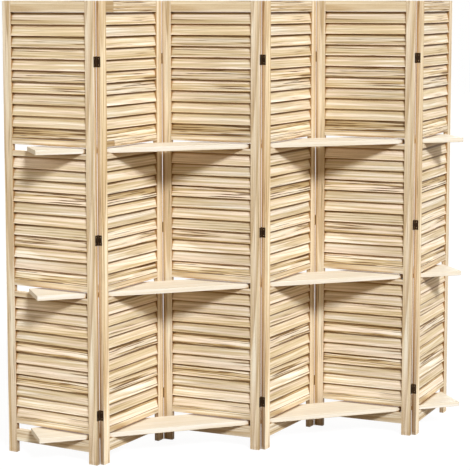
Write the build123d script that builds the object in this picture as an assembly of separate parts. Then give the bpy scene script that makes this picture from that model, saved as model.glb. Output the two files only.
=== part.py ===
from build123d import *
import math
import os

# Six-panel louvred folding screen with three shelf boards that lie in slots through all the panels.
# Millimetres, Z up. X runs along the line of the front folds, the front looks towards -Y, and the
# origin is on the floor under the middle of the standing screen.

# Whole panels
screen_height = 1700.0
panel_width = 400.0
panel_thickness = 18.0
middle_panel_angle = 41.2       # degrees from the X axis, the four middle panels
end_panel_angle = 46.8          # degrees from the X axis, the first and the last panel

# Stiles: the two posts of a panel, whose lower ends are its feet
stile_width = 36.5
stile_edge_radius = 0.8
foot_height = 45.0

# Rails
top_rail_height = 42.0
upper_rail_height = 22.0        # the rail above a slot
lower_rail_height = 20.5        # the rail below a slot
bottom_strip_height = 18.0      # the upper strip of the bottom rail
bottom_board_height = 27.0      # the lower strip of the bottom rail
rail_face_inset = 0.8
rail_edge_radius = 1.0
slot_height = 23.0

# Mortise and tenon joints between rails and stiles
tenon_length = 14.0
tenon_thickness = 7.0
tenon_shoulder = 3.5
joint_clearance = 0.15

# Louvre slats
slat_spacing = 42.0
slat_thickness = 6.0
slat_overlap = 3.0
slat_face_inset = 1.0
slat_edge_radius = 1.2
slat_end_clearance = 1.0        # between a group of slats and the rails above and below it
slat_mortise_depth = 6.0

# Shelf boards
shelf_thickness = 18.0
shelf_edge_radius = 1.5
shelf_end_inset = 67.0          # along X, from the free end of the screen to the end of a board
shelf_stile_clearance = 0.5     # between the front of a board and the posts of the front folds
shelf_valley_distance = 64.4    # from the back of a board to the rear fold lines
shelf_seat_clearance = 0.3

# Hinges, let into the edges of the stiles
hinge_gap = 1.0                 # between two neighbouring panels when they lie in one plane
pin_stand_off = 0.3             # from a panel's face to the centre of the pin
barrel_radius = 1.8
pin_radius = 0.9
pin_clearance = 0.05
pin_head_radius = 1.6
pin_head_height = 0.8
pin_head_clearance = 0.1
leaf_height = 38.0
leaf_thickness = 1.2
leaf_near_distance = 2.4        # from the centre of the pin to the plate of a leaf
leaf_face_margin = 0.8          # from the plate of a leaf to the far face of the panel
leaf_recess_depth = 1.0         # of the recess for a leaf, which runs across the stile's edge
knuckle_clearance = 0.3         # round the knuckles and pin heads in the same recess
knuckle_gap = 0.4
top_hinge_drop = 218.0          # from the top of the screen to the middle of the upper hinge
middle_hinge_drop = 15.0        # from half the screen's height to the middle of the middle hinge
lower_hinge_height = 185.0      # from the floor to the middle of the lower hinge

# Screws
screw_spread = 22.0
screw_length = 14.0
screw_shank_radius = 1.2
screw_head_radius = 2.4
screw_clearance = 0.1
screw_drive_radius = 1.2
screw_drive_depth = 0.6

cut_overrun = 2.0

panel_count = 6
ridge_hinges = (1, 3, 5)        # the folds that point to the front
valley_hinges = (2, 4)          # the folds that point to the back
levels = 3

# Places that follow from the sizes above, seen from above
middle_angle = math.radians(middle_panel_angle)
end_angle = math.radians(end_panel_angle)
half_gap = hinge_gap / 2
pivot_span = panel_width + hinge_gap
pivot_depth = panel_thickness + 2 * pin_stand_off
fold_step = pivot_span * math.cos(middle_angle) + pivot_depth * math.sin(middle_angle)
valley_depth = pivot_span * math.sin(middle_angle) - pivot_depth * math.cos(middle_angle)
face_depth = panel_thickness + pin_stand_off
front_extent = (
    (half_gap + stile_edge_radius) * math.sin(middle_angle)
    - (face_depth - stile_edge_radius) * math.cos(middle_angle)
    - stile_edge_radius
)
back_extent = (
    (half_gap + panel_width - stile_edge_radius) * math.sin(end_angle)
    - (pin_stand_off + stile_edge_radius) * math.cos(end_angle)
    + stile_edge_radius
)
ridge_y = -(front_extent + back_extent) / 2
valley_y = ridge_y + valley_depth
half_length = (
    2 * fold_step
    + (half_gap + panel_width - stile_edge_radius) * math.cos(end_angle)
    + (face_depth - stile_edge_radius) * math.sin(end_angle)
    + stile_edge_radius
)

# Heights above the floor
slat_zone = (
    screen_height - foot_height - bottom_board_height - bottom_strip_height - top_rail_height
    - levels * (slot_height + upper_rail_height) - (levels - 1) * lower_rail_height
) / levels
level_pitch = slat_zone + upper_rail_height + slot_height + lower_rail_height
slat_count = max(1, round(slat_zone / slat_spacing))
slat_pitch = (slat_zone - 2 * slat_end_clearance - slat_overlap) / slat_count
slat_rise = slat_pitch + slat_overlap
slat_run = panel_thickness - 2 * slat_face_inset
slat_tilt = math.atan2(slat_run - slat_thickness, slat_rise)
slat_width = (slat_rise - slat_thickness * math.sin(slat_tilt)) / math.cos(slat_tilt)

rail_length = panel_width - 2 * stile_width
rail_thickness = panel_thickness - 2 * rail_face_inset
leaf_far_distance = face_depth - leaf_face_margin
leaf_back = half_gap + leaf_recess_depth
pin_length = leaf_height + 2 * (pin_head_clearance + pin_head_height)
screw_distance = (leaf_near_distance + leaf_far_distance) / 2

shelf_front_y = (
    ridge_y + (half_gap + stile_width) * math.sin(end_angle)
    - pin_stand_off * math.cos(end_angle) + shelf_stile_clearance
)
shelf_back_y = valley_y - shelf_valley_distance
shelf_length = 2 * (half_length - shelf_end_inset)


def slot_floor(level):
    """Height of the slot's lower edge, level 1 at the top."""
    return screen_height - top_rail_height - slat_zone - upper_rail_height - slot_height \
        - (level - 1) * level_pitch


def slat_zone_top(level):
    """Height of the upper end of the slat group above the given slot."""
    return slot_floor(level) + slot_height + upper_rail_height + slat_zone


def rail_spans():
    """The lower and upper height of each rail of a panel."""
    spans = [(screen_height - top_rail_height, screen_height)]
    for level in range(1, levels + 1):
        floor = slot_floor(level)
        spans.append((floor + slot_height, floor + slot_height + upper_rail_height))
        if level < levels:
            spans.append((floor - lower_rail_height, floor))
    strip_floor = slot_floor(levels) - bottom_strip_height
    spans.append((strip_floor, slot_floor(levels)))
    spans.append((strip_floor - bottom_board_height, strip_floor))
    return spans


def hinge_heights():
    """Height of the middle of each hinge on a fold."""
    return [
        screen_height - top_hinge_drop,
        screen_height / 2 - middle_hinge_drop,
        lower_hinge_height,
    ]


def pivot_place(hinge):
    """X and Y of the pin line of a hinge."""
    x = (hinge - panel_count / 2) * fold_step
    return x, ridge_y if hinge in ridge_hinges else valley_y


def panel_angle(panel):
    """Turn of a panel about Z, in degrees; odd panels come forward to the right."""
    size = end_panel_angle if panel in (1, panel_count) else middle_panel_angle
    return -size if panel % 2 else size


def panel_location(panel):
    """Place of a panel's own frame: its middle, with X along its width and -Y to its front."""
    turn = math.radians(panel_angle(panel))
    side = 1 if panel % 2 else -1
    hinge = panel if panel % 2 else panel - 1
    pivot_x, pivot_y = pivot_place(hinge)
    local_x = side * (panel_width / 2 + half_gap)
    local_y = panel_thickness / 2 + pin_stand_off
    x = pivot_x - local_x * math.cos(turn) + local_y * math.sin(turn)
    y = pivot_y - local_x * math.sin(turn) - local_y * math.cos(turn)
    return Location((x, y, 0), (0, 0, panel_angle(panel)))


def hinge_of_side(panel, side):
    """The hinge at a panel's left (-1) or right (1) edge, or None at the free ends."""
    hinge = panel - 1 if side < 0 else panel
    return hinge if 1 <= hinge < panel_count else None


def slat_section(width, thickness, radius):
    """A slat's tilted cross-section in the plane across the panel."""
    tilt = Rot(0, 0, -math.degrees(slat_tilt))
    return Plane.YZ * tilt * RectangleRounded(thickness, width, radius)


def slat_heights(level):
    """Height of the middle of each slat of one group."""
    top = slat_zone_top(level) - slat_end_clearance - slat_rise / 2
    return [top - index * slat_pitch for index in range(slat_count)]


def slat_bar(length, grow):
    """One slat at the panel's middle, made larger all round by grow."""
    section = slat_section(slat_width + 2 * grow, slat_thickness + 2 * grow, slat_edge_radius)
    return extrude(section, length / 2, both=True)


def slat_group(level):
    """The slats between two rails, each a solid of its own."""
    length = rail_length + 2 * (slat_mortise_depth - slat_end_clearance)
    bar = slat_bar(length, 0)
    return Compound(children=[Pos(0, 0, height) * bar for height in slat_heights(level)])


def rail_bar(low, high):
    """One rail with a tenon at each end."""
    height = high - low
    body = extrude(Plane.YZ * RectangleRounded(rail_thickness, height, rail_edge_radius),
                   rail_length / 2, both=True)
    tenon = Box(rail_length + 2 * tenon_length, tenon_thickness, height - 2 * tenon_shoulder)
    return Pos(0, 0, (low + high) / 2) * (body + tenon)


def rail_group():
    """All rails of a panel."""
    return Compound(children=[rail_bar(low, high) for low, high in rail_spans()])


def stile_pockets():
    """The mortises for slats and rails, cut from the stile's inner edge, which is at X = 0."""
    pockets = []
    slat_pocket = slat_bar(2 * slat_mortise_depth, joint_clearance)
    for level in range(1, levels + 1):
        for height in slat_heights(level):
            pockets.append(Pos(0, 0, height) * slat_pocket)
    for low, high in rail_spans():
        pocket = Box(
            2 * (tenon_length + joint_clearance),
            tenon_thickness + 2 * joint_clearance,
            high - low - 2 * tenon_shoulder + 2 * joint_clearance,
        )
        pockets.append(Pos(0, 0, (low + high) / 2) * pocket)
    return pockets


def leaf_recess():
    """What one hinge takes out of a stile, in the frame of hinge_leaf."""
    length = face_depth + cut_overrun
    seat = Box(leaf_back, length, leaf_height + 2 * joint_clearance)
    bore = Cylinder(barrel_radius + knuckle_clearance, pin_length + 2 * joint_clearance)
    return Pos(leaf_back / 2, length / 2, 0) * seat + bore


def stile_recesses(face_side):
    """Recesses for the hinges in the stile's outer edge, which is at X = -stile_width."""
    recess = leaf_shape(leaf_recess(), -1, face_side)
    y = face_side * (panel_thickness / 2 + pin_stand_off)
    return [Pos(-stile_width - half_gap, y, height) * recess for height in hinge_heights()]


def stile_pilots(face_side):
    """Pilot holes for the hinge screws, from the stile's outer edge, which is at X = -stile_width."""
    depth = screw_length + leaf_recess_depth - leaf_thickness + cut_overrun
    y = face_side * (panel_thickness / 2 + pin_stand_off - screw_distance)
    pilots = []
    for height in hinge_heights():
        for end in (-1, 1):
            z = height + end * screw_spread / 2
            pilot = Cylinder(screw_shank_radius + screw_clearance, 2 * depth, rotation=(0, 90, 0))
            pilots.append(Pos(-stile_width, y, z) * pilot)
    return pilots


def stile_post(face_side):
    """A left stile with its inner edge at X = 0. face_side is 1 for a hinge at the back face,
    -1 for one at the front face and 0 for a stile without hinges."""
    outline = RectangleRounded(stile_width, panel_thickness, stile_edge_radius)
    post = Pos(-stile_width / 2, 0, 0) * extrude(outline, screen_height)
    cuts = stile_pockets()
    if face_side:
        cuts += stile_recesses(face_side) + stile_pilots(face_side)
    return post - cuts


def face_of_hinge(hinge):
    """The face that carries the pin: 1 for the back, -1 for the front, 0 for a free end."""
    if hinge is None:
        return 0
    return 1 if hinge in ridge_hinges else -1


def knuckle_span(index):
    """Lower and upper height of a knuckle about the middle of its hinge, index 0 at the bottom."""
    length = (leaf_height - 2 * knuckle_gap) / 3
    low = -leaf_height / 2 + index * (length + knuckle_gap)
    return low, low + length


def hinge_leaf(knuckles):
    """A leaf with its pin at the origin. X points to the edge it is screwed to, Y into the panel."""
    plate_depth = leaf_far_distance - leaf_near_distance
    plate_x = leaf_back - leaf_thickness / 2
    plate = Pos(plate_x, (leaf_near_distance + leaf_far_distance) / 2, 0) * Box(
        leaf_thickness, plate_depth, leaf_height)
    leaf = plate
    for index in knuckles:
        low, high = knuckle_span(index)
        middle = (low + high) / 2
        barrel = Pos(0, 0, middle) * Cylinder(barrel_radius, high - low)
        tab = Pos(plate_x, leaf_near_distance / 2, middle) * Box(
            leaf_thickness, leaf_near_distance, high - low)
        leaf = leaf + barrel + tab
    leaf = leaf - Cylinder(pin_radius + pin_clearance, leaf_height + cut_overrun)
    for end in (-1, 1):
        countersink = Cone(
            screw_head_radius + screw_clearance,
            screw_shank_radius + screw_clearance,
            leaf_thickness,
            rotation=(0, 90, 0),
        )
        leaf = leaf - Pos(plate_x, screw_distance, end * screw_spread / 2) * countersink
    return leaf


def hinge_screw():
    """A countersunk screw along X with the flat of its head at X = 0."""
    head = Pos(leaf_thickness / 2, 0, 0) * Cone(
        screw_head_radius, screw_shank_radius, leaf_thickness, rotation=(0, 90, 0))
    shank = Pos((leaf_thickness + screw_length) / 2, 0, 0) * Cylinder(
        screw_shank_radius, screw_length - leaf_thickness, rotation=(0, 90, 0))
    drive = Cylinder(screw_drive_radius, 2 * screw_drive_depth, rotation=(0, 90, 0))
    return head + shank - drive


def hinge_pin():
    """A pin with a round head at each end."""
    shank_length = pin_length - 2 * pin_head_height
    head = Cylinder(pin_head_radius, pin_head_height)
    shift = (shank_length + pin_head_height) / 2
    return Cylinder(pin_radius, shank_length) + Pos(0, 0, shift) * head + Pos(0, 0, -shift) * head


def leaf_frames(panel, side):
    """Places of the three pins on one edge of a panel, and the face that carries them."""
    hinge = hinge_of_side(panel, side)
    face = face_of_hinge(hinge)
    x = side * (panel_width / 2 + half_gap)
    y = face * (panel_thickness / 2 + pin_stand_off)
    return [(x, y, height) for height in hinge_heights()], face


def leaf_shape(shape, side, face):
    """Turn or mirror a shape drawn for a left edge and a front pin to the given edge and face."""
    if side > 0:
        shape = mirror(shape, about=Plane.YZ)
    if face > 0:
        shape = mirror(shape, about=Plane.XZ)
    return shape


def leaf_group(panel, side, leaf):
    """The three leaves on one edge of a panel, in the screen's frame."""
    places, face = leaf_frames(panel, side)
    shape = leaf_shape(leaf, side, face)
    location = panel_location(panel)
    return Compound(children=[location * Pos(*place) * shape for place in places])


def screw_group(panel, screw):
    """All hinge screws of a panel, in the screen's frame."""
    location = panel_location(panel)
    screws = []
    for side in (-1, 1):
        if hinge_of_side(panel, side) is None:
            continue
        places, face = leaf_frames(panel, side)
        shape = leaf_shape(Pos(leaf_back - leaf_thickness, screw_distance, 0) * screw, side, face)
        for place in places:
            for end in (-1, 1):
                lift = Pos(0, 0, end * screw_spread / 2)
                screws.append(location * Pos(*place) * lift * shape)
    return Compound(children=screws)


def pin_group(hinge, pin):
    """The three pins of a fold."""
    x, y = pivot_place(hinge)
    return Compound(children=[Pos(x, y, height) * pin for height in hinge_heights()])


def shelf_board(level):
    """One shelf board in its slots."""
    depth = shelf_back_y - shelf_front_y
    section = Plane.YZ * RectangleRounded(depth, shelf_thickness, shelf_edge_radius)
    board = extrude(section, shelf_length / 2, both=True)
    z = slot_floor(level) + shelf_seat_clearance + shelf_thickness / 2
    return Pos(0, (shelf_front_y + shelf_back_y) / 2, z) * board


def write(name, shape):
    """Write one sub-part."""
    export_step(shape, os.path.join("parts", name + ".step"))


def write_panel(panel, stiles, rails, slats, screw):
    """Write the nodes of one panel."""
    location = panel_location(panel)
    inner_edge = panel_width / 2 - stile_width
    left = Pos(-inner_edge, 0, 0) * stiles[face_of_hinge(hinge_of_side(panel, -1))]
    right = Pos(-inner_edge, 0, 0) * stiles[face_of_hinge(hinge_of_side(panel, 1))]
    write(f"panel_{panel}_left_stile", location * left)
    write(f"panel_{panel}_right_stile", location * mirror(right, about=Plane.YZ))
    write(f"panel_{panel}_rails", location * rails)
    for name, group in slats.items():
        write(f"panel_{panel}_{name}_slats", location * group)
    write(f"panel_{panel}_hinge_screws", screw_group(panel, screw))


def main():
    """Build the screen and write one file for each sub-part."""
    os.makedirs("parts", exist_ok=True)
    stiles = {face: stile_post(face) for face in (-1, 0, 1)}
    rails = rail_group()
    slats = {
        "upper": slat_group(1),
        "middle": slat_group(2),
        "lower": slat_group(3),
    }
    screw = hinge_screw()
    for panel in range(1, panel_count + 1):
        write_panel(panel, stiles, rails, slats, screw)
    left_leaf = hinge_leaf((0, 2))
    right_leaf = hinge_leaf((1,))
    pin = hinge_pin()
    for hinge in sorted(ridge_hinges + valley_hinges):
        write(f"hinge_{hinge}_left_leaves", leaf_group(hinge, 1, left_leaf))
        write(f"hinge_{hinge}_right_leaves", leaf_group(hinge + 1, -1, right_leaf))
        write(f"hinge_{hinge}_pins", pin_group(hinge, pin))
    for level, name in enumerate(("top_shelf", "middle_shelf", "bottom_shelf"), start=1):
        write(name, shelf_board(level))


main()
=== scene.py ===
"""Looks of the six-panel louvred folding screen and its three shelf boards.

Metres, Z up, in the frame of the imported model: X runs along the line of the front folds, the
front looks towards -Y, and the origin is on the floor under the middle of the standing screen.
"""

import logging
import math
from dataclasses import dataclass, field, replace
from enum import Enum

import bmesh
import bpy
from mathutils import Matrix, Vector


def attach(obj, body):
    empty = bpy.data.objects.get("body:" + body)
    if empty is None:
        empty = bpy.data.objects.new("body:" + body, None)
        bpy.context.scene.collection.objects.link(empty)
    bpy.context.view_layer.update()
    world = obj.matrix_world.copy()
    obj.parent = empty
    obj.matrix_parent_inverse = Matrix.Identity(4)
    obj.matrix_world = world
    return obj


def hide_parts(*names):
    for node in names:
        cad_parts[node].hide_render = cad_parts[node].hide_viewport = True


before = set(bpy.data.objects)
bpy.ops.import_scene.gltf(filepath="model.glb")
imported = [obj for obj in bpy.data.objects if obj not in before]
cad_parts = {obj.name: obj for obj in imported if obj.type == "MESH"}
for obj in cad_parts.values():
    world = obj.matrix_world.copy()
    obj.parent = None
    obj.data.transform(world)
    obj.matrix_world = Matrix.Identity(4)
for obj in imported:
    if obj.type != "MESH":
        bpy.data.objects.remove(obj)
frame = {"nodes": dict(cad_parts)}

log = logging.getLogger("folding_screen")

WHITE = (1.0, 1.0, 1.0, 1.0)
NOWHERE = 9.0  # metres: a place that lies outside every board
NOISE_MIDDLE = 0.5
MIX_INPUTS, MIX_RESULT = (0, 6, 7), 2  # a Mix node's sockets for a factor and two colours
Colour = tuple[int, int, int]
Range = tuple[float, float]
Socket = bpy.types.NodeSocket
Spot = tuple[Socket, Socket, Socket]


class Cut(Enum):
    """How a board was sawn from the log: how much brown heartwood it shows, from 0 to 1."""

    CLEAR = 0.0
    FAINT = 0.3
    STRIPED = 0.6
    HEART = 1.0


class Slot(Enum):
    """The record's material slots of the wooden pieces."""

    FRAME = "frame_wood"
    SLAT = "slat_wood"
    SHELF = "shelf_wood"


@dataclass(frozen=True)
class Board:
    """The wood of one board.

    seed picks its place in the pattern, tone makes it darker (above 0) or paler, and cut says how
    much heartwood it shows. joint is the place of a finger joint along the board, and lip is half
    the width of a slat, whose lower edge gets a painted highlight. Both are in metres, and lie
    outside a board that has neither. crease is the strength of the painted shade along a slat's
    upper edge, from 0 to 1.
    """

    seed: float
    tone: float = 0.0
    cut: Cut = Cut.CLEAR
    joint: float = NOWHERE
    lip: float = NOWHERE
    crease: float = 0.0


@dataclass(frozen=True)
class Layer:
    """One noise of a wood's pattern, drawn out along the grain.

    seed sets it apart from the board's other noises, length and width are the size of its
    features in metres, and detail is its number of finer octaves.
    """

    seed: float
    length: float
    width: float
    detail: float


def linear(colour: Colour) -> tuple[float, float, float, float]:
    """Turn an sRGB colour into the values that a shader takes, by the standard's formula.

    Args:
        colour: red, green and blue from 0 to 255.

    Returns:
        Linear red, green, blue and an alpha of 1.
    """
    shares = [part / 255 for part in colour]
    red, green, blue = (
        share / 12.92 if share <= 0.04045 else ((share + 0.055) / 1.055) ** 2.4 for share in shares
    )
    return red, green, blue, 1.0


class Graph:
    """A node tree, with a short call for each kind of node that the finishes use."""

    def __init__(self, owner: bpy.types.Material | bpy.types.World) -> None:
        """Start an empty tree.

        Args:
            owner: the material or world that the tree belongs to.
        """
        owner.use_nodes = True
        self.owner = owner
        self.tree = owner.node_tree
        self.tree.nodes.clear()

    def node(self, kind: str, **settings: object) -> bpy.types.Node:
        """Add a node.

        Args:
            kind: the node's class name without the leading "ShaderNode".
            settings: values for the node's own properties.

        Returns:
            The new node.
        """
        made = self.tree.nodes.new("ShaderNode" + kind)
        for name, value in settings.items():
            setattr(made, name, value)
        return made

    def feed(self, target: Socket, value: object) -> None:
        """Link a socket to another, or set its value.

        Args:
            target: the input socket.
            value: an output socket, a number, a vector or a colour.
        """
        if isinstance(value, bpy.types.NodeSocket):
            self.tree.links.new(value, target)
        else:
            target.default_value = value

    def math(self, operation: str, *values: object) -> Socket:
        """Do a sum with numbers and sockets.

        Args:
            operation: the Math node's operation.
            values: its one to three inputs.

        Returns:
            The result's socket.
        """
        made = self.node("Math", operation=operation)
        for socket, value in zip(made.inputs, values):
            self.feed(socket, value)
        return made.outputs[0]

    def attribute(self, name: str, output: str = "Fac") -> Socket:
        """Read an attribute of the mesh as a number or, with output "Vector", as a vector."""
        return self.node("Attribute", attribute_name=name).outputs[output]

    def parts(self, vector: Socket) -> tuple[Socket, Socket, Socket]:
        """Split a vector into its three numbers."""
        made = self.node("SeparateXYZ")
        self.feed(made.inputs[0], vector)
        return made.outputs[0], made.outputs[1], made.outputs[2]

    def joined(self, x: object, y: object, z: object) -> Socket:
        """Join three numbers to a vector."""
        made = self.node("CombineXYZ")
        for socket, value in zip(made.inputs, (x, y, z)):
            self.feed(socket, value)
        return made.outputs[0]

    def noise(self, vector: Socket, seed: object, detail: float) -> Socket:
        """Sample a noise that is different for each seed.

        Args:
            vector: the place in the noise, whose features are about 1 across.
            seed: the fourth coordinate.
            detail: the number of finer octaves.

        Returns:
            A value from 0 to 1, about 0.5 on average.
        """
        made = self.node("TexNoise", noise_dimensions="4D")
        self.feed(made.inputs["Vector"], vector)
        self.feed(made.inputs["W"], seed)
        made.inputs["Scale"].default_value = 1.0
        made.inputs["Detail"].default_value = detail
        return made.outputs[0]

    def drawn(self, spot: Spot, seed: Socket, layer: Layer) -> Socket:
        """Sample a noise that is drawn out along X.

        Args:
            spot: the place, in metres.
            seed: the board's seed.
            layer: the noise.

        Returns:
            A value from 0 to 1, about 0.5 on average.
        """
        sizes = (layer.length, layer.width, layer.width)
        scaled = [self.math("DIVIDE", part, size) for part, size in zip(spot, sizes)]
        return self.noise(self.joined(*scaled), self.math("ADD", seed, layer.seed), layer.detail)

    def total(self, start: object, weights: tuple[float, ...], *parts: Socket) -> Socket:
        """Add parts to a value, each times its weight."""
        for part, weight in zip(parts, weights):
            start = self.math("MULTIPLY_ADD", part, weight, start)
        return start

    def within(self, share: Socket, span: Range) -> Socket:
        """Find the value that lies a share of the way from a range's start to its end."""
        return self.math("MULTIPLY_ADD", share, span[1] - span[0], span[0])

    def ease(self, value: Socket, low: object, high: object, to_low: float = 0.0,
             to_high: float = 1.0) -> Socket:
        """Map a value to a smooth step.

        Args:
            value: the value.
            low: where the step starts.
            high: where the step ends.
            to_low: the result below low.
            to_high: the result above high.

        Returns:
            The result's socket.
        """
        made = self.node("MapRange", interpolation_type="SMOOTHSTEP")
        for socket, given in zip(made.inputs, (value, low, high, to_low, to_high)):
            self.feed(socket, given)
        return made.outputs[0]

    def mix(self, share: object, first: object, second: object, blend: str = "MIX") -> Socket:
        """Mix two colours.

        Args:
            share: how much of the second colour shows.
            first: a colour or its socket.
            second: a colour or its socket.
            blend: the way of mixing.

        Returns:
            The mixed colour's socket.
        """
        made = self.node("Mix", data_type="RGBA", blend_type=blend)
        for index, given in zip(MIX_INPUTS, (share, first, second)):
            self.feed(made.inputs[index], given)
        return made.outputs[MIX_RESULT]

    def ramp(self, value: Socket, stops: tuple[tuple[float, Colour], ...]) -> Socket:
        """Map a value to a colour.

        Args:
            value: the value.
            stops: values and their colours, from low to high.

        Returns:
            The colour's socket.
        """
        made = self.node("ValToRGB")
        self.feed(made.inputs[0], value)
        elements = made.color_ramp.elements
        while len(elements) < len(stops):
            elements.new(0.5)
        for element, (position, colour) in zip(elements, stops):
            element.position, element.color = position, linear(colour)
        return made.outputs[0]

    def relief(self, height: Socket, distance: float, strength: float) -> Socket:
        """Turn a height from 0 to 1 into a bump.

        Args:
            height: the height's socket.
            distance: how deep the relief is, in metres.
            strength: how much of it shows.

        Returns:
            The normal's socket.
        """
        made = self.node("Bump")
        made.inputs["Strength"].default_value = strength
        made.inputs["Distance"].default_value = distance
        self.feed(made.inputs["Height"], height)
        return made.outputs[0]

    def surface(self, colour: Socket, roughness: Socket, normal: Socket, metallic: float = 0.0,
                specular: float = 0.5) -> bpy.types.Material:
        """Finish the material with one shader.

        Args:
            colour: the base colour's socket.
            roughness: the roughness's socket.
            normal: the normal's socket.
            metallic: 1 for bare metal.
            specular: the specular level.

        Returns:
            The finished material.
        """
        shader = self.node("BsdfPrincipled")
        self.feed(shader.inputs["Base Color"], colour)
        self.feed(shader.inputs["Roughness"], roughness)
        self.feed(shader.inputs["Normal"], normal)
        shader.inputs["Metallic"].default_value = metallic
        shader.inputs["Specular IOR Level"].default_value = specular
        output = self.node("OutputMaterial")
        self.tree.links.new(shader.outputs[0], output.inputs[0])
        return self.owner


@dataclass(frozen=True)
class WoodFinish:
    """Bare planed pine, as a solid pattern in the board's own frame.

    The pattern reads attributes of the mesh: "grain", the place in the board with X along the
    grain, "cut", the board's seed, tone and share of heartwood, "joint" and "lip", the places of
    its finger joint and of a slat's edges, "crease", the strength of the painted shade along its
    upper edge, "end", which is 1 on the faces of sawn end grain, and "side", which is 1 on the
    narrow faces.

    A step is where a smooth step starts and ends. band_starts, band_shares and thread_shares
    hold for clear wood and for heartwood. Weights are in the order of the parts they go with.
    """

    name: str
    pale: Colour
    tan: Colour
    blush: Colour
    amber: Colour
    umber: Colour
    clouds: Layer = Layer(5.1, 0.40, 0.030, 1.0)
    streaks: Layer = Layer(11.3, 0.55, 0.008, 2.0)
    threads: Layer = Layer(23.9, 0.20, 0.0042, 2.0)
    fibres: Layer = Layer(0.0, 0.022, 0.0007, 2.0)
    pores: Layer = Layer(31.7, 0.011, 0.0011, 1.0)
    drift: Layer = Layer(0.0, 0.30, 0.06, 2.0)
    wander: float = 0.006
    ring_spacing: float = 0.008
    ring_share: float = 0.30
    ring_rise: Range = (0.25, 0.85)
    ring_fall: Range = (0.88, 1.0)
    pith_across: Range = (-0.045, 0.045)
    pith_depth: Range = (0.012, 0.062)
    pith_slope: Range = (-0.035, 0.035)
    cloud_step: Range = (0.36, 0.56)
    tan_share: float = 0.90
    tan_step: Range = (0.38, 0.60)
    vein_share: float = 0.48
    vein_step: Range = (0.46, 0.70)
    band_starts: Range = (0.66, 0.51)
    band_rise: float = 0.07
    band_shares: Range = (0.12, 0.84)
    band_veins: Range = (0.45, 1.0)
    band_vein_step: Range = (0.36, 0.58)
    thread_start: float = 0.69
    thread_weights: Range = (-0.11, -0.05)
    thread_rise: float = 0.05
    thread_shares: Range = (0.14, 0.94)
    pore_step: Range = (0.66, 0.74)
    finger_half: float = 0.0019
    finger_slope: float = 4.2
    joint_line: float = 0.0011
    block_seed: float = 7.71
    block_share: float = 0.70
    strip_width: float = 0.0
    strip_seed: float = 3.17
    strip_line: float = 0.0005
    strip_line_share: float = 0.5
    # crease_step: where the painted shade along a slat's upper edge fades out
    crease_step: Range = (0.0085, 0.0125)
    # side fields: narrow faces browned towards the floor, partly painted shade in the folds, partly
    # browner wood
    side_share: float = 0.60
    side_step: Range = (-0.80, -0.20)
    # where the painted highlight along a slat's lower edge fades out
    lip_highlight_step: Range = (0.0014, 0.0036)
    # the crevice fields paint shade into the gaps between boards, by ambient occlusion
    crevice_reach: float = 0.014
    crevice_samples: int = 8
    crevice_shade_tints: tuple[tuple[float, Colour], ...] = (
        (0.10, (124, 86, 48)), (0.42, (172, 136, 94)), (0.68, (222, 198, 164)),
        (0.90, (255, 255, 255)))
    shade_weights: tuple[float, ...] = (0.20, -0.16, -0.08, 0.12, -0.30, -0.10, -0.12)
    roughness: float = 0.50
    rough_weights: tuple[float, ...] = (0.18, -0.07, 0.15)
    height_weights: tuple[float, ...] = (0.35, -0.9, -0.5)
    relief_depth: float = 0.00022
    relief_share: float = 0.5
    specular: float = 0.3

    def material(self) -> bpy.types.Material:
        """Build the material.

        Returns:
            The wood's material.
        """
        graph = Graph(bpy.data.materials.new(self.name))
        spot = graph.parts(graph.attribute("grain", "Vector"))
        seed, tone, heart = graph.parts(graph.attribute("cut", "Vector"))
        seed, line, block = self.glued(graph, spot, seed)
        spot = self.wandering(graph, spot, seed)

        rings = self.rings(graph, spot, seed)
        wood = self.colour(graph, spot, seed, rings, heart)
        share = graph.math("MULTIPLY", block, self.block_share)
        wood = graph.mix(share, wood, linear(self.amber))
        # umber: painted shade along slats' upper edges, and partly painted shade on stiles' narrow
        # faces
        wood = graph.mix(self.crease_shade_and_dark_sides(graph, spot), wood, linear(self.umber))

        fibres = graph.drawn(spot, seed, self.fibres)
        pores = graph.ease(graph.drawn(spot, seed, self.pores), *self.pore_step)
        end = graph.attribute("end")
        swing = graph.math("SUBTRACT", fibres, NOISE_MIDDLE)
        # the lip term paints a highlight along a slat's lower edge
        shade = graph.total(1.0, self.shade_weights, swing, tone, block, self.lip(graph, spot),
                            line, pores, end)
        wood = graph.mix(1.0, wood, graph.joined(shade, shade, shade), "MULTIPLY")
        # painted shade in the gaps between boards
        wood = graph.mix(1.0, wood, self.painted_crevice_shade(graph), "MULTIPLY")

        roughness = graph.total(self.roughness, self.rough_weights, fibres, rings, end)
        height = graph.total(fibres, self.height_weights, rings, line, pores)
        relief = graph.relief(height, self.relief_depth, self.relief_share)
        return graph.surface(wood, roughness, relief, specular=self.specular)

    def crease_shade_and_dark_sides(self, graph: Graph, spot: Spot) -> Socket:
        """Find where umber goes: painted shade along a slat's upper edge, and a stile's narrow
        faces near the floor, which are partly painted shade and partly browner wood.

        Args:
            graph: the material's graph.
            spot: the place in the board.

        Returns:
            How brown it is, from 0.
        """
        below = graph.math("SUBTRACT", graph.attribute("lip"), spot[1])
        crease = graph.ease(below, *self.crease_step, 1.0, 0.0)
        crease = graph.math("MULTIPLY", graph.attribute("crease"), crease)
        edge = graph.ease(spot[0], *self.side_step, self.side_share, 0.0)
        edge = graph.math("MULTIPLY", graph.attribute("side"), edge)
        return graph.math("MAXIMUM", crease, edge)

    def lip(self, graph: Graph, spot: Spot) -> Socket:
        """Find a board's lower edge, where a highlight is painted.

        Args:
            graph: the material's graph.
            spot: the place in the board.

        Returns:
            1 along that edge and 0 elsewhere.
        """
        above = graph.math("ADD", spot[1], graph.attribute("lip"))
        return graph.ease(above, *self.lip_highlight_step, 1.0, 0.0)

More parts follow.
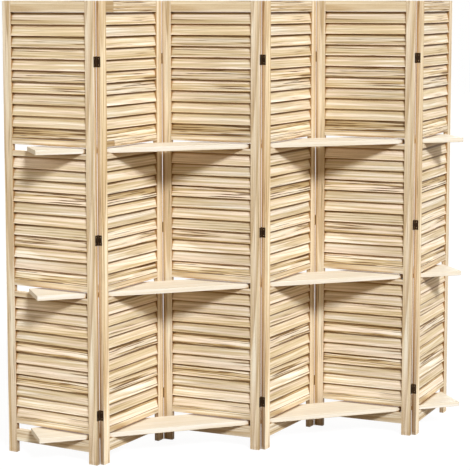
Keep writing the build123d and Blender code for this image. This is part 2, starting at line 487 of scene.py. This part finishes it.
    def painted_crevice_shade(self, graph: Graph) -> Socket:
        """Paint shade into the narrow gaps between boards, by ambient occlusion.

        Args:
            graph: the material's graph.

        Returns:
            The painted shade's colour, brown in a gap and white on open faces and beside the floor.
        """
        openness = graph.node("AmbientOcclusion", samples=self.crevice_samples)
        openness.inputs["Distance"].default_value = self.crevice_reach
        tint = graph.ramp(openness.outputs["AO"], self.crevice_shade_tints)
        height = graph.parts(graph.node("TexCoord").outputs["Object"])[2]
        return graph.mix(graph.ease(height, 0.0, self.crevice_reach), WHITE, tint)

    def colour(self, graph: Graph, spot: Spot, seed: Socket, rings: Socket,
               heart: Socket) -> Socket:
        """Lay tan streaks, growth rings, amber bands and brown threads over the pale wood.

        Args:
            graph: the material's graph.
            spot: the place in the board.
            seed: the board's seed.
            rings: 0 in early wood and 1 in late wood.
            heart: the board's share of heartwood.

        Returns:
            The wood's colour.
        """
        pale, tan, blush, amber, umber = (
            linear(tint) for tint in (self.pale, self.tan, self.blush, self.amber, self.umber))
        cloud, broad, fine = (
            graph.drawn(spot, seed, layer) for layer in (self.clouds, self.streaks, self.threads))
        wood = graph.mix(graph.ease(cloud, *self.cloud_step), pale, blush)
        wood = graph.mix(graph.ease(broad, *self.tan_step, 0.0, self.tan_share), wood, tan)
        wood = graph.mix(graph.ease(fine, *self.vein_step, 0.0, self.vein_share), wood, amber)
        wood = graph.mix(graph.math("MULTIPLY", rings, self.ring_share), wood, amber)

        start = graph.within(heart, self.band_starts)
        band = graph.ease(broad, start, graph.math("ADD", start, self.band_rise))
        veins = graph.within(graph.ease(fine, *self.band_vein_step), self.band_veins)
        share = graph.math("MULTIPLY", band, graph.within(heart, self.band_shares))
        wood = graph.mix(graph.math("MULTIPLY", share, veins), wood, amber)

        start = graph.total(self.thread_start, self.thread_weights, heart, band)
        thread = graph.ease(fine, start, graph.math("ADD", start, self.thread_rise))
        share = graph.math("MULTIPLY", thread, graph.within(heart, self.thread_shares))
        return graph.mix(share, wood, umber)

    def glued(self, graph: Graph, spot: Spot, seed: Socket) -> tuple[Socket, Socket, Socket]:
        """Change the seed at a finger joint and, in a board of glued strips, from strip to strip.

        Args:
            graph: the material's graph.
            spot: the place in the board.
            seed: the board's seed.

        Returns:
            The seed of this strip or block, 1 on a glue line and 0 beside it, and 1 in the block
            beyond a finger joint and 0 elsewhere.
        """
        x, y, _ = spot
        joint = graph.attribute("joint")
        fingers = graph.math("PINGPONG", y, self.finger_half)
        along = graph.math("MULTIPLY_ADD", fingers, self.finger_slope, x)
        along = graph.math("SUBTRACT", along, joint)
        near = graph.math("COMPARE", joint, 0.0, NOWHERE - 1.0)
        block = graph.math("MULTIPLY", graph.math("LESS_THAN", along, 0.0), near)
        seed = graph.math("MULTIPLY_ADD", block, self.block_seed, seed)
        line = graph.ease(graph.math("ABSOLUTE", along), 0.0, self.joint_line, 1.0, 0.0)
        if self.strip_width:
            strip = graph.math("DIVIDE", y, self.strip_width)
            seed = graph.math("MULTIPLY_ADD", graph.math("FLOOR", strip), self.strip_seed, seed)
            edge = graph.ease(graph.math("PINGPONG", strip, 0.5), 0.0,
                              self.strip_line / self.strip_width, self.strip_line_share, 0.0)
            line = graph.math("MAXIMUM", line, edge)
        return seed, line, block

    def wandering(self, graph: Graph, spot: Spot, seed: Socket) -> Spot:
        """Let the grain wander a little to the sides, as it does in a tree.

        Args:
            graph: the material's graph.
            spot: the place in the board.
            seed: the board's seed.

        Returns:
            The place in straight grain.
        """
        x, y, z = spot
        drift = graph.math("SUBTRACT", graph.drawn(spot, seed, self.drift), NOISE_MIDDLE)
        across = graph.math("MULTIPLY_ADD", drift, self.wander, y)
        return x, across, graph.math("MULTIPLY_ADD", drift, self.wander / 2, z)

    def rings(self, graph: Graph, spot: Spot, seed: Socket) -> Socket:
        """Cut growth rings about a pith line that lies beside the board.

        Args:
            graph: the material's graph.
            spot: the place in the board.
            seed: the board's seed.

        Returns:
            0 in early wood, rising to 1 in late wood.
        """
        x, y, z = spot
        chance = graph.node("TexWhiteNoise", noise_dimensions="1D")
        graph.feed(chance.inputs["W"], seed)
        across, depth, slope = graph.parts(chance.outputs["Color"])
        y = graph.math("ADD", y, graph.within(across, self.pith_across))
        z = graph.math("ADD", z, graph.within(depth, self.pith_depth))
        squares = graph.math("ADD", graph.math("MULTIPLY", y, y), graph.math("MULTIPLY", z, z))
        cone = graph.math("MULTIPLY", x, graph.within(slope, self.pith_slope))
        radius = graph.math("ADD", graph.math("SQRT", squares), cone)
        share = graph.math("FRACT", graph.math("DIVIDE", radius, self.ring_spacing))
        rise = graph.ease(share, *self.ring_rise)
        return graph.math("MULTIPLY", rise, graph.ease(share, *self.ring_fall, 1.0, 0.0))


@dataclass(frozen=True)
class MetalFinish:
    """Dark bronzed steel with fine wear, on Object coordinates.

    clouds and grit each hold a noise's features per metre, its seed and its finer octaves.
    """

    name: str
    base: Colour
    worn: Colour
    roughness: float
    clouds: tuple[float, float, float] = (260.0, 1.0, 3.0)
    grit: tuple[float, float, float] = (2400.0, 5.0, 2.0)
    wear_step: Range = (0.52, 0.72)
    wear_share: float = 0.6
    grit_share: float = 0.22
    relief_depth: float = 0.00008
    relief_share: float = 0.6
    metallic: float = 0.85

    def material(self) -> bpy.types.Material:
        """Build the material.

        Returns:
            The metal's material.
        """
        graph = Graph(bpy.data.materials.new(self.name))
        spot = graph.parts(graph.node("TexCoord").outputs["Object"])
        found = []
        for scale, seed, detail in (self.clouds, self.grit):
            scaled = graph.joined(*(graph.math("MULTIPLY", part, scale) for part in spot))
            found.append(graph.noise(scaled, seed, detail))
        cloud, grit = found
        wear = graph.math("MULTIPLY", graph.ease(cloud, *self.wear_step), self.wear_share)
        colour = graph.mix(wear, linear(self.base), linear(self.worn))
        roughness = graph.math("MULTIPLY_ADD", grit, self.grit_share, self.roughness)
        relief = graph.relief(grit, self.relief_depth, self.relief_share)
        return graph.surface(colour, roughness, relief, metallic=self.metallic)


@dataclass(frozen=True)
class FloorFinish:
    """A plain pale studio floor that the camera, metal and glass see as white.

    It keeps the object's shadow, and gives the object a weaker and warmer light than white paper.
    """

    name: str = "studio_floor"
    colour: Colour = (134, 114, 92)
    white_share: float = 0.90
    white_strength: float = 1.04

    def material(self) -> bpy.types.Material:
        """Build the material.

        Returns:
            The floor's material.
        """
        graph = Graph(bpy.data.materials.new(self.name))
        direct = seen_directly(graph)
        diffuse = graph.node("BsdfDiffuse")
        graph.feed(diffuse.inputs["Color"], graph.mix(direct, linear(self.colour), WHITE))
        white = graph.node("Emission")
        white.inputs["Color"].default_value = WHITE
        white.inputs["Strength"].default_value = self.white_strength
        mixed = graph.node("MixShader")
        graph.feed(mixed.inputs[0], graph.math("MULTIPLY", direct, self.white_share))
        graph.feed(mixed.inputs[1], diffuse.outputs[0])
        graph.feed(mixed.inputs[2], white.outputs[0])
        output = graph.node("OutputMaterial")
        graph.feed(output.inputs[0], mixed.outputs[0])
        return graph.owner


def seen_directly(graph: Graph) -> Socket:
    """Say whether a ray comes from the camera, a mirror or glass.

    Args:
        graph: the graph that asks.

    Returns:
        1 for such a ray and 0 for the others.
    """
    path = graph.node("LightPath")
    direct = graph.math("MAXIMUM", path.outputs["Is Camera Ray"], path.outputs["Is Glossy Ray"])
    return graph.math("MAXIMUM", direct, path.outputs["Is Transmission Ray"])


class Piece:
    """One shown piece: boards of the same kind, gathered in one mesh."""

    vectors: tuple[str, ...] = ("grain", "cut")
    numbers: tuple[str, ...] = ("joint", "lip", "crease")
    end_facing: float = 0.5  # how far along X the normal of a face of end grain points, at least
    side_facing: float = 0.8  # how far along Y the normal of a narrow face points, at least

    def __init__(self, name: str) -> None:
        """Start an empty piece.

        Args:
            name: the piece's name.
        """
        self.name = name
        self.mesh = bmesh.new()
        for layer in self.vectors:
            self.mesh.verts.layers.float_vector.new(layer)
        for layer in self.numbers:
            self.mesh.verts.layers.float.new(layer)
        for layer in ("end", "side"):
            self.mesh.faces.layers.float.new(layer)

    def add(self, template: bpy.types.Mesh, place: Matrix, board: Board) -> None:
        """Add a board.

        Args:
            template: the board's mesh in its own frame, with X along the grain.
            place: where it goes, in the screen's frame.
            board: its wood.
        """
        first_vertex, first_face = len(self.mesh.verts), len(self.mesh.faces)
        self.mesh.from_mesh(template)
        self.mesh.verts.ensure_lookup_table()
        self.mesh.faces.ensure_lookup_table()
        fresh = self.mesh.verts[first_vertex:]
        layers = self.mesh.verts.layers
        grain, cut = (layers.float_vector[name] for name in self.vectors)
        joint, lip, crease = (layers.float[name] for name in self.numbers)
        end, side = (self.mesh.faces.layers.float[name] for name in ("end", "side"))
        for vertex in fresh:
            vertex[grain] = vertex.co
            vertex[cut] = (board.seed, board.tone, board.cut.value)
            vertex[joint] = board.joint
            vertex[lip] = board.lip
            vertex[crease] = board.crease
        for face in self.mesh.faces[first_face:]:
            face[end] = float(abs(face.normal.x) > self.end_facing)
            face[side] = float(abs(face.normal.y) > self.side_facing)
        bmesh.ops.transform(self.mesh, matrix=place, verts=fresh)

    def finish(self, body: str, node: str, slot: Slot, material: bpy.types.Material) -> None:
        """Turn the gathered boards into an object that rides on a CAD body.

        Args:
            body: the CAD body.
            node: the CAD node that the piece stands for.
            slot: the record's material slot; not used.
            material: the finish.
        """
        data = bpy.data.meshes.new(self.name)
        self.mesh.to_mesh(data)
        self.mesh.free()
        data.shade_smooth()
        data.materials.append(material)
        made = bpy.data.objects.new(self.name, data)
        bpy.context.scene.collection.objects.link(made)
        made.modifiers.new("normals", "WEIGHTED_NORMAL").keep_sharp = True
        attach(made, body)
        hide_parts(node)
        log.info("%s rides on %s in place of %s", self.name, body, node)


def planed_bar(name: str, length: float, width: float, thickness: float, radius: float,
               end_radius: float, segments: int = 2) -> bpy.types.Mesh:
    """Make a straight bar with eased long edges and lightly broken ends.

    Args:
        name: the mesh's name.
        length: its length, along X.
        width: its width, along Y.
        thickness: its thickness, along Z.
        radius: the radius of its long edges.
        end_radius: the radius of the edges round its ends.
        segments: faces across a long edge's round.

    Returns:
        The bar's mesh, with its middle at the origin.
    """
    shape = bmesh.new()
    bmesh.ops.create_cube(shape, size=1.0)
    bmesh.ops.scale(shape, vec=(length, width, thickness), verts=shape.verts)
    for along, offset, faces in ((True, radius, segments), (False, end_radius, 1)):
        edges = [
            edge for edge in shape.edges
            if (abs(edge.verts[0].co.x - edge.verts[1].co.x) > length / 2) == along
        ]
        bmesh.ops.bevel(shape, geom=edges, offset=offset, offset_type="OFFSET", segments=faces,
                        profile=0.5, affect="EDGES", material=-1)
    bmesh.ops.recalc_face_normals(shape, faces=shape.faces)
    made = bpy.data.meshes.new(name)
    shape.to_mesh(made)
    shape.free()
    return made


def turned(x_axis: tuple[float, float, float], y_axis: tuple[float, float, float],
           place: tuple[float, float, float]) -> Matrix:
    """Make the matrix that turns a board's own frame into a panel's frame.

    Args:
        x_axis: where the board's X, its grain, points.
        y_axis: where the board's Y, its width, points.
        place: the board's middle.

    Returns:
        The matrix.
    """
    first, second = Vector(x_axis), Vector(y_axis)
    third = first.cross(second)
    rows = [(first[i], second[i], third[i], place[i]) for i in range(3)]
    return Matrix((*rows, (0.0, 0.0, 0.0, 1.0)))


@dataclass(frozen=True)
class ScreenPlan:
    """The standing screen seen from above, and the heights of its parts."""

    height: float = 1.7
    panel_width: float = 0.4
    panel_thickness: float = 0.018
    middle_angle: float = math.radians(41.2)
    end_angle: float = math.radians(46.8)
    panels: int = 6
    levels: int = 3
    stile_width: float = 0.0365
    foot: float = 0.045
    top_rail: float = 0.042
    upper_rail: float = 0.022
    lower_rail: float = 0.0205
    bottom_strip: float = 0.018
    bottom_board: float = 0.027
    slot: float = 0.023
    hinge_gap: float = 0.001
    pin_stand_off: float = 0.0003
    shelf_end_inset: float = 0.067
    shelf_stile_clearance: float = 0.0005
    shelf_valley_distance: float = 0.0644
    stile_round: float = 0.0008

    @property
    def fold_step(self) -> float:
        """Distance along X from one fold to the next."""
        return (self.pivot_span * math.cos(self.middle_angle)
                + self.pivot_depth * math.sin(self.middle_angle))

    @property
    def pivot_span(self) -> float:
        """Distance between a panel's two pin lines, along the panel."""
        return self.panel_width + self.hinge_gap

    @property
    def pivot_depth(self) -> float:
        """Distance between a panel's two pin lines, through the panel."""
        return self.panel_thickness + 2 * self.pin_stand_off

    @property
    def front_fold_y(self) -> float:
        """Y of the pins of the front folds, which puts the screen's box about the origin."""
        near = self.hinge_gap / 2 + self.stile_round
        deep = self.panel_thickness + self.pin_stand_off - self.stile_round
        front = (near * math.sin(self.middle_angle)
                 - deep * math.cos(self.middle_angle) - self.stile_round)
        far = self.hinge_gap / 2 + self.panel_width - self.stile_round
        rear = self.pin_stand_off + self.stile_round
        back = (far * math.sin(self.end_angle) - rear * math.cos(self.end_angle)
                + self.stile_round)
        return -(front + back) / 2

    @property
    def back_fold_y(self) -> float:
        """Y of the pins of the back folds."""
        return (self.front_fold_y + self.pivot_span * math.sin(self.middle_angle)
                - self.pivot_depth * math.cos(self.middle_angle))

    @property
    def half_length(self) -> float:
        """Half the standing screen's length."""
        far = self.hinge_gap / 2 + self.panel_width - self.stile_round
        deep = self.panel_thickness + self.pin_stand_off - self.stile_round
        return (2 * self.fold_step + far * math.cos(self.end_angle)
                + deep * math.sin(self.end_angle) + self.stile_round)

    @property
    def slat_zone(self) -> float:
        """Height between two rails that a group of slats fills."""
        rails = self.foot + self.bottom_board + self.bottom_strip + self.top_rail
        slots = self.levels * (self.slot + self.upper_rail) + (self.levels - 1) * self.lower_rail
        return (self.height - rails - slots) / self.levels

    @property
    def rail_length(self) -> float:
        """Clear width between a panel's stiles."""
        return self.panel_width - 2 * self.stile_width

    def slot_floor(self, level: int) -> float:
        """Height of a slot's lower edge, level 1 at the top."""
        pitch = self.slat_zone + self.upper_rail + self.slot + self.lower_rail
        top = self.height - self.top_rail - self.slat_zone - self.upper_rail - self.slot
        return top - (level - 1) * pitch

    def angle(self, panel: int) -> float:
        """Turn of a panel about Z."""
        size = self.end_angle if panel in (1, self.panels) else self.middle_angle
        return -size if panel % 2 else size

    def place(self, panel: int) -> Matrix:
        """Make the matrix from a panel's frame to the screen's.

        Args:
            panel: the panel's number, 1 at the left.

        Returns:
            The matrix; a panel's frame has its middle at the origin and its front towards -Y.
        """
        hinge = panel if panel % 2 else panel - 1
        side = 1 if panel % 2 else -1
        pivot = Vector(((hinge - self.panels // 2) * self.fold_step, self.front_fold_y, 0.0))
        turn = Matrix.Rotation(self.angle(panel), 4, "Z")
        arm = Vector((side * (self.panel_width + self.hinge_gap) / 2,
                      self.panel_thickness / 2 + self.pin_stand_off, 0.0))
        return Matrix.Translation(pivot - turn.to_3x3() @ arm) @ turn


@dataclass(frozen=True)
class Posts:
    """The two stiles of a panel, whose lower ends are its feet."""

    plan: ScreenPlan
    finish: bpy.types.Material
    end_round: float = 0.0006
    round_faces: int = 3
    # a left stile's tone and cut: at a front fold it is painted paler against the fold's shade; on
    # odd panels darker
    front_fold: tuple[float, Cut] = (-0.80, Cut.STRIPED)
    back_fold: tuple[float, Cut] = (0.3, Cut.STRIPED)
    plain: tuple[float, Cut] = (0.0, Cut.FAINT)
    seed: float = 41.0
    side_seed: float = 2.6
    panel_seed: float = 0.8

    def build(self, panel: int) -> None:
        """Make both stiles of a panel.

        Args:
            panel: the panel's number.
        """
        plan = self.plan
        bar = planed_bar("stile", plan.height, plan.stile_width, plan.panel_thickness,
                         plan.stile_round, self.end_round, self.round_faces)
        middle = (plan.panel_width - plan.stile_width) / 2
        fold = self.back_fold if panel % 2 else self.front_fold
        for side, name, (tone, cut) in ((-1, "left", fold), (1, "right", self.plain)):
            piece = Piece(f"panel_{panel}_{name}_post")
            turn = turned((0, 0, 1), (-1, 0, 0), (side * middle, 0, plan.height / 2))
            seed = self.seed + side * self.side_seed + (panel % 2) * self.panel_seed
            piece.add(bar, plan.place(panel) @ turn, Board(seed, tone, cut))
            piece.finish(f"panel_{panel}", f"panel_{panel}_{name}_stile", Slot.FRAME, self.finish)


@dataclass(frozen=True)
class Rails:
    """The eight rails of a panel."""

    plan: ScreenPlan
    finish: bpy.types.Material
    face_inset: float = 0.0008
    edge_round: float = 0.001
    end_round: float = 0.0002
    block_length: float = 0.052
    jointed_panel: int = 2
    jointed_rails: tuple[int, ...] = (0, 1)
    heart_rails: tuple[int, ...] = (0, 1, 4)
    odd_tone: float = 0.2
    even_tone: float = 0.3
    seed: float = 60.0
    rail_seed: float = 1.9
    panel_seed: float = 3.1

    def spans(self) -> list[tuple[float, float]]:
        """List the lower and upper height of each rail."""
        plan = self.plan
        found = [(plan.height - plan.top_rail, plan.height)]
        for level in range(1, plan.levels + 1):
            floor = plan.slot_floor(level)
            found.append((floor + plan.slot, floor + plan.slot + plan.upper_rail))
            if level < plan.levels:
                found.append((floor - plan.lower_rail, floor))
        strip = plan.slot_floor(plan.levels) - plan.bottom_strip
        found.append((strip, plan.slot_floor(plan.levels)))
        found.append((strip - plan.bottom_board, strip))
        return found

    def build(self, panel: int) -> None:
        """Make the rails of a panel.

        Args:
            panel: the panel's number.
        """
        plan = self.plan
        piece = Piece(f"panel_{panel}_rail_set")
        thickness = plan.panel_thickness - 2 * self.face_inset
        for index, (low, high) in enumerate(self.spans()):
            bar = planed_bar("rail", plan.rail_length, high - low, thickness, self.edge_round,
                             self.end_round)
            turn = turned((1, 0, 0), (0, 0, 1), (0, 0, (low + high) / 2))
            piece.add(bar, plan.place(panel) @ turn, self.board(panel, index))
        piece.finish(f"panel_{panel}", f"panel_{panel}_rails", Slot.FRAME, self.finish)

    def board(self, panel: int, index: int) -> Board:
        """Choose the wood of a rail.

        Args:
            panel: the panel's number.
            index: the rail's place in the panel, 0 at the top.

        Returns:
            The rail's board.
        """
        seed = self.seed + index * self.rail_seed + (panel % 2) * self.panel_seed
        if panel % 2:
            return Board(seed, self.odd_tone, Cut.FAINT)
        jointed = panel == self.jointed_panel and index in self.jointed_rails
        joint = self.block_length - self.plan.rail_length / 2 if jointed else NOWHERE
        cut = Cut.HEART if index in self.heart_rails else Cut.STRIPED
        return Board(seed, self.even_tone, cut, joint)


@dataclass(frozen=True)
class Louvres:
    """The slats of a panel, in one group above each slot."""

    plan: ScreenPlan
    finish: bpy.types.Material
    spacing: float = 0.042
    thickness: float = 0.006
    overlap: float = 0.003
    face_inset: float = 0.001
    edge_round: float = 0.0012
    end_round: float = 0.0002
    end_clearance: float = 0.0002
    # strength of the painted shade along each slat's upper edge
    creases: tuple[float, float] = (0.60, 0.08)  # on even and on odd panels
    slat_seed: float = 3.7
    level_seed: float = 50.0
    panel_seed: float = 17.3
    tone_seed: float = 12.9
    tone_reach: float = 0.5
    groups: tuple[str, ...] = ("upper", "middle", "lower")
    cuts: dict[str, tuple[Cut, ...]] = field(default_factory=lambda: {
        "upper": (Cut.STRIPED, Cut.FAINT, Cut.STRIPED, Cut.STRIPED, Cut.CLEAR, Cut.HEART,
                  Cut.HEART, Cut.FAINT, Cut.CLEAR, Cut.CLEAR, Cut.HEART),
        "middle": (Cut.FAINT, Cut.CLEAR, Cut.STRIPED, Cut.HEART, Cut.FAINT, Cut.CLEAR,
                   Cut.STRIPED, Cut.HEART, Cut.FAINT, Cut.CLEAR, Cut.HEART),
        "lower": (Cut.CLEAR, Cut.FAINT, Cut.STRIPED, Cut.FAINT, Cut.HEART, Cut.CLEAR,
                  Cut.STRIPED, Cut.HEART, Cut.STRIPED, Cut.FAINT, Cut.STRIPED),
    })

    def build(self, panel: int) -> None:
        """Make the three groups of slats of a panel.

        Args:
            panel: the panel's number.
        """
        plan = self.plan
        count = max(1, round(plan.slat_zone / self.spacing))
        pitch = (plan.slat_zone - 2 * self.end_clearance - self.overlap) / count
        rise = pitch + self.overlap
        tilt = math.atan2(plan.panel_thickness - 2 * self.face_inset - self.thickness, rise)
        width = (rise - self.thickness * math.sin(tilt)) / math.cos(tilt)
        bar = planed_bar("slat", plan.rail_length, width, self.thickness, self.edge_round,
                         self.end_round)
        for level, group in enumerate(self.groups, start=1):
            piece = Piece(f"panel_{panel}_{group}_louvres")
            top = plan.slot_floor(level) + plan.slot + plan.upper_rail + plan.slat_zone
            for index in range(count):
                middle = top - self.end_clearance - rise / 2 - index * pitch
                turn = turned((1, 0, 0), (0, math.sin(tilt), math.cos(tilt)), (0, 0, middle))
                cut = self.cuts[group][index % len(self.cuts[group])]
                seed = (self.slat_seed * index + self.level_seed * level
                        + (panel % 2) * self.panel_seed)
                tone = math.sin(seed * self.tone_seed) * self.tone_reach
                board = Board(seed, tone, cut, lip=width / 2, crease=self.creases[panel % 2])
                piece.add(bar, plan.place(panel) @ turn, board)
            piece.finish(f"panel_{panel}", f"panel_{panel}_{group}_slats", Slot.SLAT,
                         self.finish)


@dataclass(frozen=True)
class Shelves:
    """The three long boards that lie in the slots."""

    plan: ScreenPlan
    finish: bpy.types.Material
    thickness: float = 0.018
    edge_round: float = 0.0015
    end_round: float = 0.0012
    round_faces: int = 3
    seat_clearance: float = 0.0003
    seed: float = 5.0
    level_seed: float = 6.3
    names: tuple[str, ...] = ("top_shelf", "middle_shelf", "bottom_shelf")

    def build(self) -> None:
        """Make the three boards."""
        plan = self.plan
        near = plan.hinge_gap / 2 + plan.stile_width
        front = (plan.front_fold_y + near * math.sin(plan.end_angle)
                 - plan.pin_stand_off * math.cos(plan.end_angle) + plan.shelf_stile_clearance)
        back = plan.back_fold_y - plan.shelf_valley_distance
        length = 2 * (plan.half_length - plan.shelf_end_inset)
        bar = planed_bar("shelf", length, back - front, self.thickness, self.edge_round,
                         self.end_round, self.round_faces)
        for level, name in enumerate(self.names, start=1):
            height = plan.slot_floor(level) + self.seat_clearance + self.thickness / 2
            piece = Piece(f"{name}_board")
            turn = turned((1, 0, 0), (0, 1, 0), (0, (front + back) / 2, height))
            piece.add(bar, turn, Board(self.seed + self.level_seed * level))
            piece.finish(name, name, Slot.SHELF, self.finish)


@dataclass(frozen=True)
class Ironwork:
    """The hinges and screws, which keep their CAD solids and get their finishes here."""

    leaf: bpy.types.Material
    screw: bpy.types.Material

    def dress(self, nodes: dict[str, bpy.types.Object]) -> None:
        """Give each hinge part and screw its finish.

        Args:
            nodes: the CAD nodes by name.
        """
        for name, part in nodes.items():
            if name.endswith(("leaves", "pins", "screws")):
                material = self.screw if name.endswith("screws") else self.leaf
                part.data.materials.clear()
                part.data.materials.append(material)
                log.info("%s keeps its CAD solid", name)


@dataclass(frozen=True)
class Sun:
    """A lamp whose rays are nearly parallel."""

    name: str
    strength: float
    spread: float
    toward: tuple[float, float, float]
    colour: Colour = (255, 255, 255)

    def build(self) -> None:
        """Hang the lamp."""
        lamp = bpy.data.lights.new(self.name, "SUN")
        lamp.energy = self.strength
        lamp.angle = self.spread
        lamp.color = linear(self.colour)[:3]
        hung = bpy.data.objects.new(self.name, lamp)
        hung.rotation_mode = "QUATERNION"
        hung.rotation_quaternion = Vector(self.toward).to_track_quat("Z", "Y")
        bpy.context.scene.collection.objects.link(hung)


@dataclass(frozen=True)
class Studio:
    """A pale floor, soft light, and the camera at the photograph's place."""

    camera_place: tuple[float, float, float] = (-1.8990, -5.5662, 1.7)
    yaw: float = math.radians(-18.30)
    pitch: float = math.radians(6.218)
    lens: float = 118.47
    sensor_width: float = 36.0
    shift: float = -0.14
    sight: float = 100.0
    suns: tuple[Sun, ...] = (
        Sun("key", 3.5, math.radians(12.0), (0.09, -1.0, 0.75), (247, 250, 255)),
        Sun("fill", 0.98, math.radians(100.0), (1.0, -0.6, 0.4), (255, 245, 228)),
        Sun("side", 1.6, math.radians(60.0), (-1.0, 0.30, 0.25), (255, 244, 226)),
        Sun("back", 1.3, math.radians(40.0), (0.25, 1.0, 0.35), (250, 251, 255)),
    )
    sky_strength: float = 0.11
    sky_colour: Colour = (255, 244, 230)
    floor_size: float = 40.0

    def build(self) -> None:
        """Make the floor, the lights, the world and the camera."""
        self.make_floor()
        for sun in self.suns:
            sun.build()
        self.make_sky()
        self.make_camera()

    def make_floor(self) -> None:
        """Lay the floor."""
        shape = bmesh.new()
        bmesh.ops.create_grid(shape, x_segments=1, y_segments=1, size=self.floor_size / 2)
        data = bpy.data.meshes.new("floor")
        shape.to_mesh(data)
        shape.free()
        data.materials.append(FloorFinish().material())
        floor = bpy.data.objects.new("floor", data)
        bpy.context.scene.collection.objects.link(floor)

    def make_sky(self) -> None:
        """Fill the room with even light, and show it as white."""
        world = bpy.data.worlds.new("studio")
        bpy.context.scene.world = world
        graph = Graph(world)
        direct = seen_directly(graph)
        background = graph.node("Background")
        colour = graph.mix(direct, linear(self.sky_colour), WHITE)
        graph.feed(background.inputs["Color"], colour)
        strength = graph.ease(direct, 0.0, 1.0, self.sky_strength, 1.0)
        graph.feed(background.inputs["Strength"], strength)
        output = graph.node("OutputWorld")
        graph.feed(output.inputs[0], background.outputs[0])

    def make_camera(self) -> None:
        """Set up the camera."""
        data = bpy.data.cameras.new("camera")
        data.lens = self.lens
        data.sensor_width = self.sensor_width
        data.shift_y = self.shift
        data.clip_end = self.sight
        camera = bpy.data.objects.new("camera", data)
        camera.location = self.camera_place
        camera.rotation_euler = (math.radians(90.0) - self.pitch, 0.0, self.yaw)
        bpy.context.scene.collection.objects.link(camera)
        bpy.context.scene.camera = camera


def main() -> None:
    """Build the screen's looks and the studio, in order."""
    logging.basicConfig(level=logging.INFO, format="%(name)s: %(message)s")
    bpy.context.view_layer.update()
    bpy.context.scene.view_settings.view_transform = "Standard"
    plan = ScreenPlan()
    frame_wood = WoodFinish(
        "frame_wood", (253, 246, 226), (232, 213, 176), (247, 234, 211), (184, 150, 98),
        (120, 88, 50), streaks=replace(WoodFinish.streaks, length=1.6), wander=0.003,
        ring_spacing=0.0115, ring_share=0.60, crevice_reach=0.020)
    slat_wood = WoodFinish(
        "slat_wood", (253, 246, 229), (217, 198, 157), (249, 232, 211), (174, 143, 87),
        (104, 73, 38))
    shelf_wood = WoodFinish(
        "shelf_wood", (244, 239, 227), (236, 226, 204), (243, 235, 220), (218, 198, 160),
        (184, 156, 118), ring_share=0.15, vein_share=0.28, side_share=0.0, strip_width=0.053)
    posts = Posts(plan, frame_wood.material())
    rails = Rails(plan, posts.finish)
    louvres = Louvres(plan, slat_wood.material())
    for panel in range(1, plan.panels + 1):
        posts.build(panel)
        rails.build(panel)
        louvres.build(panel)
    Shelves(plan, shelf_wood.material()).build()
    bronze = MetalFinish("hinge_bronze", (64, 46, 30), (104, 78, 52), 0.38)
    steel = MetalFinish("screw_bronze", (74, 56, 38), (120, 96, 68), 0.34)
    Ironwork(bronze.material(), steel.material()).dress(frame["nodes"])
    Studio().build()


if __name__ == "__main__":
    main()
